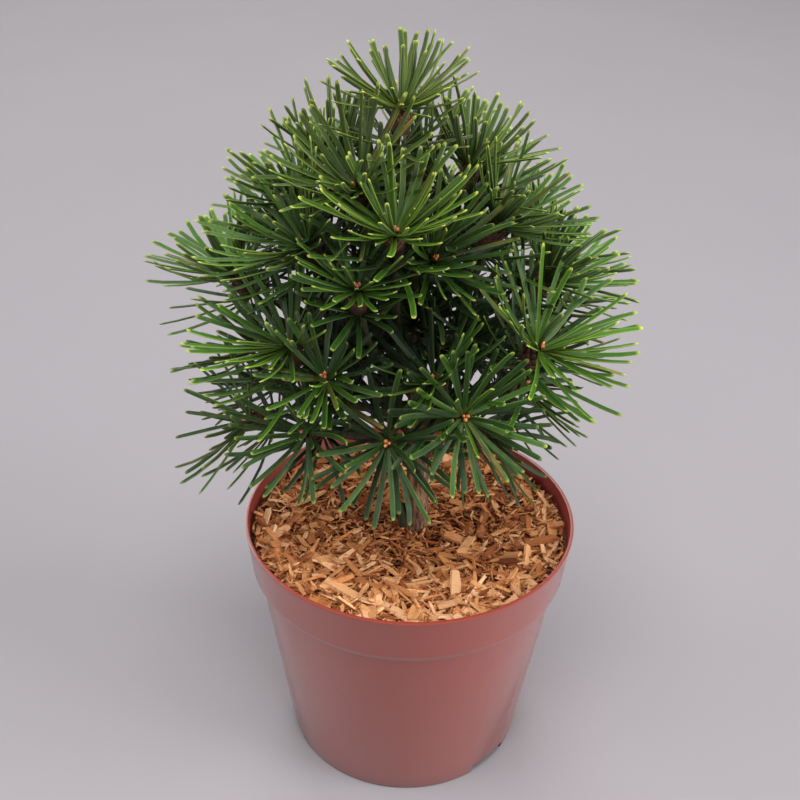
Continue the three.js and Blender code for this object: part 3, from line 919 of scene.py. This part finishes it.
class PINE_OT_bedding(bpy.types.Operator):
    """Finish the soil, the litter bed and the scattered wood chips and fibres"""

    bl_idname = "pine.bedding"
    bl_label = "Bedding"

    def execute(self, context):
        settings = context.scene.pine_bedding
        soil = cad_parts["potting_soil"].data.materials
        soil.clear()
        soil.append(potting_soil(settings))
        bed = shape_bed(settings)
        finish_piece(bed, ["wood_chip_mulch"], mulch_dust(settings))
        masters = [chip_master(*shape) for shape in CHIP_SHAPES]

        def chip_size(draw, spot):
            grown = draw.lognormvariate(0, 0.5) * (0.55 + 0.65 * frontness(spot))
            chip = settings.chip_length * min(grown, LONGEST_CHIP)
            breadth = min(chip, BROADEST_CHIP) * draw.uniform(0.6, 1.2)
            return Vector((chip, breadth, chip * draw.uniform(0.6, 1.1)))

        def chip_tone(draw, spot):
            return clamp(draw.gauss(0.42 + 0.32 * frontness(spot), 0.27), 0.05)

        def fibre_size(draw, spot):
            fibre = draw.uniform(2.4, 7.5) * MM
            return Vector((fibre, fibre * draw.uniform(0.6, 1.4), fibre * draw.uniform(0.7, 1.3)))

        def fibre_tone(draw, spot):
            return clamp(draw.gauss(0.34 + 0.18 * frontness(spot), 0.2), 0.02)

        chips = scatter(
            "wood_chips", masters[:4], settings.chips, chip_size, chip_tone,
            seed=41, lift=(-2.4 * MM, 1.8 * MM),
        )
        fibres = scatter(
            "wood_fibres", masters[4:], settings.fibres, fibre_size, fibre_tone,
            seed=42, lift=(-1.8 * MM, 1.3 * MM),
        )
        finish_piece(chips, [], wood_grain(settings, "split_wood", 0.72), 50)
        finish_piece(fibres, [], wood_grain(settings, "wood_fibre", 0.85), 50)
        return {"FINISHED"}


# ---- Stem, branches, shoots and buds ----


class Hub:
    """Where a whorl stands, which way it points and where its needles end, from its CAD node."""

    def __init__(self, node):
        points = np.unique(read_points(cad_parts[node].data).round(7), axis=0)
        third = len(points) // 3  # this many are the hub's own ring, the closest together
        apart = np.linalg.norm(points[:, None] - points[None], axis=2)
        middle = np.argmin(np.sort(apart, axis=1)[:, third - 1])
        order = np.argsort(apart[middle])
        ring, outer = points[order[:third]], points[order[third:]]
        self.name = node
        self.centre = ring.mean(axis=0)
        self.axis = np.linalg.svd(ring - self.centre)[2][2]
        if (outer.mean(axis=0) - self.centre) @ self.axis < 0:
            self.axis = -self.axis
        self.right = unit(np.array(Vector(self.axis).orthogonal()))
        self.ahead = np.cross(self.axis, self.right)
        self.tips = self.needle_tips(outer)

    def needle_tips(self, outer):
        """The middle of each needle's blunt end, in order round the hub."""
        away = outer - self.centre
        turns = np.arctan2(away @ self.ahead, away @ self.right)
        order = np.argsort(turns)
        gaps = np.diff(turns[order], append=turns[order[0]] + math.tau)
        order = np.roll(order, -1 - int(np.argmax(gaps)))
        return outer[order].reshape(-1, 4, 3).mean(axis=1)

    def level(self, turn):
        """The direction square to the axis at a turn round it."""
        return math.cos(turn) * self.right + math.sin(turn) * self.ahead

    def place(self, turn, opening, reach):
        """A point seen from the hub at a turn round its axis and an opening from it."""
        way = math.cos(opening) * self.axis + math.sin(opening) * self.level(turn)
        return self.centre + way * reach

    def polar(self, point):
        """Turn, opening and reach of a point, the other way round."""
        away = point - self.centre
        reach = np.linalg.norm(away)
        turn = math.atan2(away @ self.ahead, away @ self.right)
        return turn, math.acos(clamp(away @ self.axis / reach, -1.0)), reach


HUBS = [Hub(node) for node in WHORL_NODES]
LOW_BRANCH_FOOT = Vector((STEM_X - 5.6 * MM, -2.4 * MM, MULCH_TOP - 1.5 * MM))
LOW_BRANCH_TOP = Vector((STEM_X - 13 * MM, -2 * MM, MULCH_TOP + 34 * MM))
LOW_BRANCH_RADIUS = 2.3 * MM
BARK_GRID = 0.95 * MM
FURROW_SIZE = 2.6 * MM
SCALES_ROUND_SHOOT = 7
CORE_SHARE = 0.86  # size of a shoot's core against the shoot with its scales


def low_branch():
    """The thin dark branch that rises close beside the foot of the stem, on its left."""
    foot, top = LOW_BRANCH_FOOT, LOW_BRANCH_TOP
    branch = add_primitive(
        "cylinder", "low_branch", vertices=12, radius=LOW_BRANCH_RADIUS, depth=(top - foot).length,
        location=(foot + top) / 2, rotation=(top - foot).to_track_quat("Z", "Y").to_euler(),
    )
    settle(branch)
    with EditMode(branch) as edit:
        edit.pick(lambda vertex: (vertex.co - top).length < 4 * MM)
        edit.resize((0.6, 0.6, 1), top)
    return branch


def grow_bark(settings):
    """The CAD wood as one flowing skin with furrowed bark."""
    wood = link("bark_and_branches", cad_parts["stem_and_branches"].data.copy())
    with EditMode(wood) as edit:
        edit.pick_all()
        bpy.ops.mesh.remove_doubles(threshold=0.002 * MM)
    low = low_branch()
    activate(wood)
    low.select_set(True)
    bpy.ops.object.join()
    apply_modifier(wood, "REMESH", mode="VOXEL", voxel_size=BARK_GRID)
    apply_modifier(wood, "SMOOTH", factor=0.6, iterations=4)
    furrows = bpy.data.textures.new("furrows", "CLOUDS")
    furrows.noise_scale = FURROW_SIZE
    furrows.noise_depth = 2
    thick = wood.vertex_groups.new(name="thick")
    for vertex in wood.data.vertices:
        lean = vertex.co - Vector((STEM_X, 0, vertex.co.z))
        if lean.length < STEM_RADIUS * 1.5:
            thick.add([vertex.index], 1, "REPLACE")
    apply_modifier(
        wood, "DISPLACE", texture=furrows, texture_coords="LOCAL",
        strength=settings.bark_relief, mid_level=0.45, vertex_group="thick",
    )
    return wood


def scale_master():
    """A pointed papery scale that curls outwards at its tip, one unit long."""
    scale = add_primitive("plane", "scale", size=1, location=(0, 0.5, 0))
    settle(scale)
    with EditMode(scale) as edit:
        edit.pick_all()
        bpy.ops.mesh.subdivide(number_cuts=2)
        edit.pick(lambda vertex: vertex.co.y > 0.9)
        edit.resize((0.12, 1, 1), (0, 1, 0))
        edit.move((0, 0.1, 0.16))
        edit.pick(lambda vertex: 0.5 < vertex.co.y < 0.9)
        edit.resize((0.8, 1, 1), (0, 0.66, 0))
        edit.move((0, 0, 0.06))
        edit.pick(lambda vertex: abs(vertex.co.x) < 0.2 and vertex.co.y < 0.9)
        edit.move((0, 0, 0.1))
    apply_modifier(scale, "SOLIDIFY", thickness=0.07, offset=-1)
    return Master(scale)


def core_master():
    """The spindle under the scales of a shoot, one unit long and wide."""
    core = add_primitive(
        "uv_sphere", "core", segments=10, ring_count=8, radius=0.5, location=(0, 0.5, 0)
    )
    settle(core)
    with EditMode(core) as edit:
        edit.pick(lambda vertex: vertex.co.y < 0.3)
        edit.resize((0.62, 1, 0.62))
    return Master(core)


def bud_master():
    """A small egg-shaped bud with a drawn-out point, one unit long."""
    bud = add_primitive(
        "uv_sphere", "bud", segments=10, ring_count=7, radius=0.5, location=(0, 0, 0.5)
    )
    settle(bud)
    with EditMode(bud) as edit:
        edit.pick_all()
        edit.resize((0.72, 0.72, 1))
        edit.pick(lambda vertex: vertex.co.z > 0.7)
        edit.resize((0.62, 0.62, 1.25), (0, 0, 0.7))
        edit.pick(lambda vertex: abs(vertex.co.z - 0.5) < 0.1)
        edit.resize((1.1, 1.1, 1), (0, 0, 0.5))
    return Master(bud)


def grow_shoots(settings):
    """A swollen shoot of overlapping scales under each whorl."""
    scale, core = scale_master(), core_master()
    draw = random.Random(17)
    copies = []
    for hub in HUBS:
        grown = draw.uniform(0.72, 1.08)
        reach, width = settings.shoot_length * grown, settings.shoot_width * grown
        foot = hub.centre - hub.axis * (reach - 1.2 * MM)
        spread = np.column_stack([hub.right * width, hub.axis * reach, hub.ahead * width])
        values = {"along": 0.1, "tone": 0.2}
        copies.append((core, core.points @ spread.T * CORE_SHARE + foot, values))
        for row in range(settings.scale_rows):
            up = (row + 0.2) / (settings.scale_rows + 0.6)
            girth = width / 2 * (0.62 + 0.42 * math.sin(math.pi * min(1, up + 0.12)))
            for index in range(SCALES_ROUND_SHOOT):
                bearing = math.tau * (index + 0.5 * (row % 2)) / SCALES_ROUND_SHOOT
                level = hub.level(bearing + draw.uniform(-0.12, 0.12))
                side = np.cross(hub.axis, level)
                rise = unit(hub.axis + level * draw.uniform(0.0, 0.25))
                size = reach * draw.uniform(0.26, 0.34)
                spread = np.column_stack([side * size * 0.95, rise * size, level * size])
                spot = foot + hub.axis * reach * up * CORE_SHARE + level * girth * 0.92
                values = {"along": scale.points[:, 1], "tone": draw.random()}
                copies.append((scale, scale.points @ spread.T + spot, values))
    return gather("shoot_scales", copies)


def grow_buds(settings):
    """Two or three buds at the middle of each whorl."""
    bud = bud_master()
    draw = random.Random(23)
    copies = []
    for hub in HUBS:
        count = draw.choice((2, 3, 3))
        start = draw.uniform(0, math.tau)
        for index in range(count):
            turn = start + math.tau * index / count
            size = settings.bud_length * draw.uniform(0.8, 1.15)
            spot = hub.place(turn, math.radians(40), 1.0 * MM) + hub.axis * 0.3 * MM
            way = unit(hub.place(turn, math.radians(14), 1.0) - hub.centre)
            side = unit(np.cross(way, hub.right))
            spread = np.column_stack([side, np.cross(way, side), way]) * size
            values = {"along": bud.points[:, 2], "tone": draw.random()}
            copies.append((bud, bud.points @ spread.T + spot, values))
    return gather("winter_buds", copies)


class PINE_OT_wood(bpy.types.Operator):
    """Grow the barked stem and branches, the scaly shoots and the buds"""

    bl_idname = "pine.wood"
    bl_label = "Wood"

    def execute(self, context):
        settings = context.scene.pine_wood
        finish_piece(grow_bark(settings), ["stem_and_branches"], bark(settings), 60)
        finish_piece(grow_shoots(settings), [], papery_scales(settings), 40)
        finish_piece(grow_buds(settings), [], bud_skin(settings), 60)
        return {"FINISHED"}


# ---- Needles ----

NEEDLE_CEILING = CAD_BOUNDS[1].z + 5 * MM
SPARSE_HEIGHT = 195 * MM  # whorls below this hold few needles and are painted darker, as shade under the upper crown
FILLING_RISE = 40 * MM  # from there up to whorls that are full
# painted light: whorls that the light falls on, whose needles get a brighter tone
LIT_WHORLS = ("needle_whorl_06", "needle_whorl_16", "needle_whorl_17")
LIT_WHORL_TONE = 0.24
# painted shade: the tone taken off the needles of the lowest, sparse whorls
LOW_WHORL_SHADE = -0.2
LONG_NEEDLE = 40 * MM
ROOT_OPENING = math.radians(78)
NARROW_GAP = math.radians(9)
RIM_GAP = 2 * MM
NEEDLE_STEPS = (
    # share of the length, share of the width
    (0.05, 0.62),
    (0.2, 0.86),
    (0.5, 1.0),
    (0.8, 0.98),
    (0.95, 0.9),
    (0.987, 0.68),
    (1.0, 0.3),
)


def needle_master():
    """A flat blade with a groove along both faces, one unit long, wide and thick."""
    blade = add_primitive(
        "circle", "blade", vertices=8, radius=0.5, fill_type="NGON", rotation=(math.pi / 2, 0, 0)
    )
    settle(blade)
    with EditMode(blade) as edit:
        edit.pick(lambda vertex: vertex.co.z > 0.45)
        edit.move((0, 0, -0.26))
        edit.pick(lambda vertex: vertex.co.z < -0.45)
        edit.move((0, 0, 0.3))
    with EditMode(blade, "FACE") as edit:
        edit.pick_all()
        edit.resize((0.5, 1, 0.6))
        before, breadth = 0.0, 0.5
        for along, width in NEEDLE_STEPS:
            edit.extrude((0, along - before, 0))
            edit.resize((width / breadth, 1, (width / breadth) ** 0.7), (0, along, 0))
            before, breadth = along, width
    with EditMode(blade) as edit:
        edit.pick_all()
        bpy.ops.mesh.normals_make_consistent(inside=False)
    master = Master(blade)
    x, y, _ = master.points.T
    master.across = np.array([x[i] / abs(x[np.isclose(y, y[i])]).max() for i in range(len(x))])
    return master


def is_inside_crown(root, tip):
    """True for a needle that ends inside the frame's box and passes over the pot's rim."""
    low, high = (np.array(corner) for corner in CAD_BOUNDS)
    if (tip < low + MM).any() or (tip > high - MM).any():
        return False
    for step in np.linspace(0, 1, 7):
        spot = root + (tip - root) * step
        if math.hypot(spot[0], spot[1]) < RIM_RADIUS + RIM_GAP and spot[2] < POT_HEIGHT + RIM_GAP:
            return False
    return True


class Thatch:
    """The needles of one whorl, laid one by one."""

    def __init__(self, hub, master, settings, draw):
        self.hub = hub
        self.master = master
        self.settings = settings
        self.draw = draw
        self.copies = []
        self.seats = [hub.polar(tip) for tip in hub.tips]  # turn, opening and reach of each
        self.longest = max(reach for _, _, reach in self.seats)
        self.fullness = clamp((hub.centre[2] - SPARSE_HEIGHT) / FILLING_RISE)
        # painted light on the lit whorls and painted shade on the low ones, as a change of needle
        # tone
        fresh = LIT_WHORL_TONE if hub.name in LIT_WHORLS else 0.0
        self.light_and_shade_tone = fresh + LOW_WHORL_SHADE * (1 - self.fullness)

    def lay(self, tip, root_reach, width=1.0, tone=0.0, behind=0.0):
        """Lays a needle from the hub to its tip, with its upper side towards the whorl's axis."""
        draw, hub = self.draw, self.hub
        turn = hub.polar(tip)[0]
        root = hub.place(turn, ROOT_OPENING, root_reach)
        root = root + hub.axis * (draw.uniform(-0.5, 0.4) * MM - behind)
        run = tip - root
        if tip[2] > NEEDLE_CEILING:
            run = run * (NEEDLE_CEILING - root[2]) / run[2]
        side = unit(np.cross(run, hub.axis))
        over = unit(np.cross(side, run))
        roll = draw.gauss(0, 0.22)
        side, over = (
            side * math.cos(roll) + over * math.sin(roll),
            over * math.cos(roll) - side * math.sin(roll),
        )
        full = np.linalg.norm(run) / LONG_NEEDLE
        bow = -self.settings.bow * full * full * draw.gauss(0.9, 0.7)
        swerve = self.settings.bow * full * full * draw.gauss(0, 0.8)
        breadth = self.settings.width * width * draw.uniform(0.88, 1.1)
        x, y, z = self.master.points.T
        hump = 4 * y * (1 - y)
        points = (
            root
            + np.outer(y, run)
            + np.outer(x * breadth + hump * swerve, side)
            + np.outer(z * self.settings.thickness + hump * bow, over)
        )
        values = {
            "along": y,
            "across": self.master.across,
            "under": (z < 0).astype(float),
            "tone": clamp(draw.gauss(0.42, 0.2) + tone + self.light_and_shade_tone),
            "age": draw.random(),
        }
        self.copies.append((self.master, points, values))

    def lay_all(self):
        """The framed needles first, then the others that fill the whorl."""
        for tip in self.hub.tips:
            centre = self.hub.centre
            self.lay(centre + (tip - centre) * self.draw.uniform(0.87, 1.0), 1.9 * MM)
        self.lay_between()
        start = self.draw.uniform(0, math.tau)
        self.lay_upright(start)
        self.lay_stubby(start)
        self.lay_older()

    def turns(self, number, start, low, high):
        """Even turns round the hub, each moved on by chance."""
        for index in range(number):
            yield start + math.tau * (index + self.draw.uniform(low, high)) / number

    def lay_between(self):
        """More needles in the wider gaps between the framed ones."""
        draw, seats = self.draw, self.seats
        chance = self.settings.between * (0.2 + 0.8 * self.fullness)
        for here, there in zip(seats, seats[1:] + seats[:1]):
            gap = (there[0] - here[0]) % math.tau
            if draw.random() > chance or gap < NARROW_GAP:
                continue
            turn = here[0] + gap * draw.uniform(0.38, 0.62)
            opening = (here[1] + there[1]) / 2 - math.radians(draw.uniform(2, 13))
            reach = max(here[2], there[2]) * draw.uniform(0.82, 1.0)
            self.lay(self.hub.place(turn, opening, reach), 1.5 * MM, width=0.96, tone=0.06)

    def lay_upright(self, start):
        """Steeper needles inside the whorl, twice as many in the leader's."""
        draw = self.draw
        wide = sorted(opening for _, opening, _ in self.seats)[len(self.seats) // 2]
        number = round(self.settings.upright * (0.25 + 0.75 * self.fullness))
        if self.hub is HUBS[0]:
            number *= 2
        for turn in self.turns(number, start, 0.2, 0.8):
            opening = wide * draw.uniform(0.35, 0.72)
            reach = self.longest * draw.uniform(0.62, 0.93)
            self.lay(self.hub.place(turn, opening, reach), 1.1 * MM, width=0.94, tone=0.12)

    def lay_stubby(self, start):
        """Short, fresh needles round the buds."""
        draw = self.draw
        for turn in self.turns(self.settings.stubby, start, 0.1, 0.9):
            opening = math.radians(draw.uniform(38, 78))
            reach = draw.uniform(7, 15) * MM
            self.lay(self.hub.place(turn, opening, reach), 1.3 * MM, width=0.8, tone=0.3)

    def lay_older(self):
        """Last year's whorl: darker and wider open, a little way down the same branch."""
        draw, hub = self.draw, self.hub
        behind = draw.uniform(11, 16) * MM
        for turn in self.turns(self.settings.older, 0, 0.1, 0.9):
            opening = math.radians(draw.uniform(52, 84))
            reach = self.longest * draw.uniform(0.78, 1.0)
            tip = hub.place(turn, opening, reach) - hub.axis * behind
            if is_inside_crown(hub.centre - hub.axis * behind, tip):
                self.lay(tip, 1.7 * MM, tone=-0.22, behind=behind)


class PINE_OT_needles(bpy.types.Operator):
    """Grow the needles of every whorl"""

    bl_idname = "pine.needles"
    bl_label = "Needles"

    def execute(self, context):
        settings = context.scene.pine_needles
        master = needle_master()
        material = needle_leather(settings)
        for number, hub in enumerate(HUBS, 1):
            thatch = Thatch(hub, master, settings, random.Random(100 + number))
            thatch.lay_all()
            whorl = gather(f"needles_{number:02d}", thatch.copies)
            finish_piece(whorl, [hub.name], material, 60)
        return {"FINISHED"}


# ---- Stage ----


LIT_POINT = Vector((0, 0, 0.18))
LIGHTS = (
    # name, place, size, setting that it goes by, share of that setting
    ("key_light", (-0.1, -0.9, 2.5), 1.4, "key", 1.0),
    ("right_light", (2.1, -0.7, 1.0), 1.3, "fill", 2.9),
    ("left_light", (-2.1, -0.3, 1.0), 1.3, "fill", 1.0),
    ("back_light", (-0.3, 2.0, 1.9), 1.5, "fill", 1.8),
)
SKY_COLOUR = (0.93, 0.91, 0.94, 1)


def add_area(name, place, size, power):
    deselect_all()
    bpy.ops.object.light_add(type="AREA", location=place)
    lamp = bpy.context.object
    lamp.name = name
    lamp.data.size = size
    lamp.data.energy = power
    lamp.rotation_mode = "QUATERNION"
    lamp.rotation_quaternion = (LIT_POINT - Vector(place)).to_track_quat("-Z", "Y")


class PINE_OT_stage(bpy.types.Operator):
    """Set up the camera, the floor and the soft studio light"""

    bl_idname = "pine.stage"
    bl_label = "Stage"

    def execute(self, context):
        settings = context.scene.pine_stage
        self.add_camera(context, settings)
        deselect_all()
        floor = add_primitive("plane", "floor", size=9)
        settle(floor)
        floor.data.materials.append(floor_paint(settings))
        for name, place, size, setting, part in LIGHTS:
            add_area(name, place, size, getattr(settings, setting) * part)
        self.light_world(context, settings)
        context.scene.view_settings.view_transform = "Standard"
        return {"FINISHED"}

    def add_camera(self, context, settings):
        pitch, roll = settings.camera_pitch, settings.camera_roll
        target = Vector((settings.target_offset, 0, settings.target_height))
        back = Vector((0, -math.cos(pitch), math.sin(pitch)))
        bpy.ops.object.camera_add(location=target + back * settings.camera_distance)
        camera = context.object
        camera.rotation_euler = (
            Matrix.Rotation(roll, 3, back) @ back.to_track_quat("Z", "Y").to_matrix()
        ).to_euler()
        camera.data.lens = settings.lens
        camera.data.clip_start = 0.01
        context.scene.camera = camera

    def light_world(self, context, settings):
        world = bpy.data.worlds.new("studio")
        context.scene.world = world
        world.use_nodes = True
        background = world.node_tree.nodes["Background"]
        background.inputs["Color"].default_value = SKY_COLOUR
        background.inputs["Strength"].default_value = settings.sky


# ---- Panel and start ----

SETTINGS = {
    "pine_pot": PotSettings,
    "pine_bedding": BeddingSettings,
    "pine_wood": WoodSettings,
    "pine_needles": NeedleSettings,
    "pine_stage": StageSettings,
}


class PINE_PT_panel(bpy.types.Panel):
    """Lists the steps that build the potted pine"""

    bl_idname = "PINE_PT_panel"
    bl_label = "Potted Umbrella Pine"
    bl_space_type = "VIEW_3D"
    bl_region_type = "UI"
    bl_category = "Pine"

    def draw(self, context):
        for operator in OPERATORS:
            self.layout.operator(operator.bl_idname)


OPERATORS = (PINE_OT_stage, PINE_OT_pot, PINE_OT_bedding, PINE_OT_wood, PINE_OT_needles)
CLASSES = (*SETTINGS.values(), *OPERATORS, PINE_PT_panel)


def register():
    for cls in CLASSES:
        bpy.utils.register_class(cls)
    for name, group in SETTINGS.items():
        setattr(bpy.types.Scene, name, PointerProperty(type=group))


def unregister():
    for name in SETTINGS:
        delattr(bpy.types.Scene, name)
    for cls in reversed(CLASSES):
        bpy.utils.unregister_class(cls)


def main():
    register()
    bpy.ops.pine.stage()
    bpy.ops.pine.pot()
    bpy.ops.pine.bedding()
    bpy.ops.pine.wood()
    bpy.ops.pine.needles()


if __name__ == "__main__":
    main()
